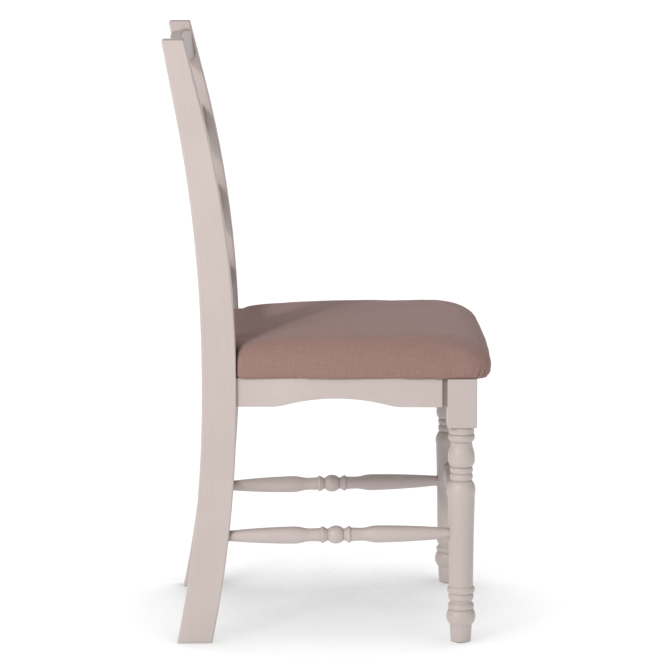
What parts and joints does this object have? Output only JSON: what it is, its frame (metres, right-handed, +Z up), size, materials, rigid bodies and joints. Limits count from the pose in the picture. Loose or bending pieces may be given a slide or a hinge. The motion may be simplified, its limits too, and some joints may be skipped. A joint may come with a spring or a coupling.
{
  "type": "dining chair",
  "caption": "Ladder-back wooden dining chair with turned front legs and stretchers, sabre rear posts, bowed slats and a padded fabric seat.",
  "frame": {"origin": "on the floor, under the centre of the chair's bounding box", "axes": "+Z up; the sitter faces -Y; X runs across the chair, with left at -X and right at +X as seen from in front"},
  "size_m": [0.4648, 0.5168, 0.97],
  "materials": {
    "painted_wood": "satin paint over hardwood",
    "bare_wood": "sanded, unfinished",
    "plywood": "sanded, unfinished",
    "foam": "open-cell foam",
    "seat_fabric": "plain linen weave with slubs",
    "lining_fabric": "non-woven",
    "zinc_steel": "zinc plated",
    "nylon": "moulded nylon"
  },
  "bodies": {
    "root": {"rear_leg_left": "painted_wood", "rear_leg_right": "painted_wood", "front_leg_left": "painted_wood", "front_leg_right": "painted_wood", "crest_rail": "painted_wood", "back_slat_upper": "painted_wood", "back_slat_middle": "painted_wood", "back_slat_lower": "painted_wood", "front_rail": "painted_wood", "rear_rail": "painted_wood", "side_rail_left": "painted_wood", "side_rail_right": "painted_wood", "side_stretcher_left": "painted_wood", "side_stretcher_right": "painted_wood", "front_stretcher": "painted_wood", "rear_stretcher": "painted_wood", "corner_block_front_left": "bare_wood", "corner_block_front_right": "bare_wood", "corner_block_rear_left": "bare_wood", "corner_block_rear_right": "bare_wood", "corner_block_screws": "zinc_steel", "seat_screws": "zinc_steel", "seat_board": "plywood", "seat_foam": "foam", "seat_cover": "seat_fabric", "dust_cover": "lining_fabric", "staples": "zinc_steel", "foot_glide_front_left": "nylon", "foot_glide_front_right": "nylon", "foot_glide_rear_left": "nylon", "foot_glide_rear_right": "nylon", "glide_nails": "zinc_steel"}
  },
  "joints": []
}
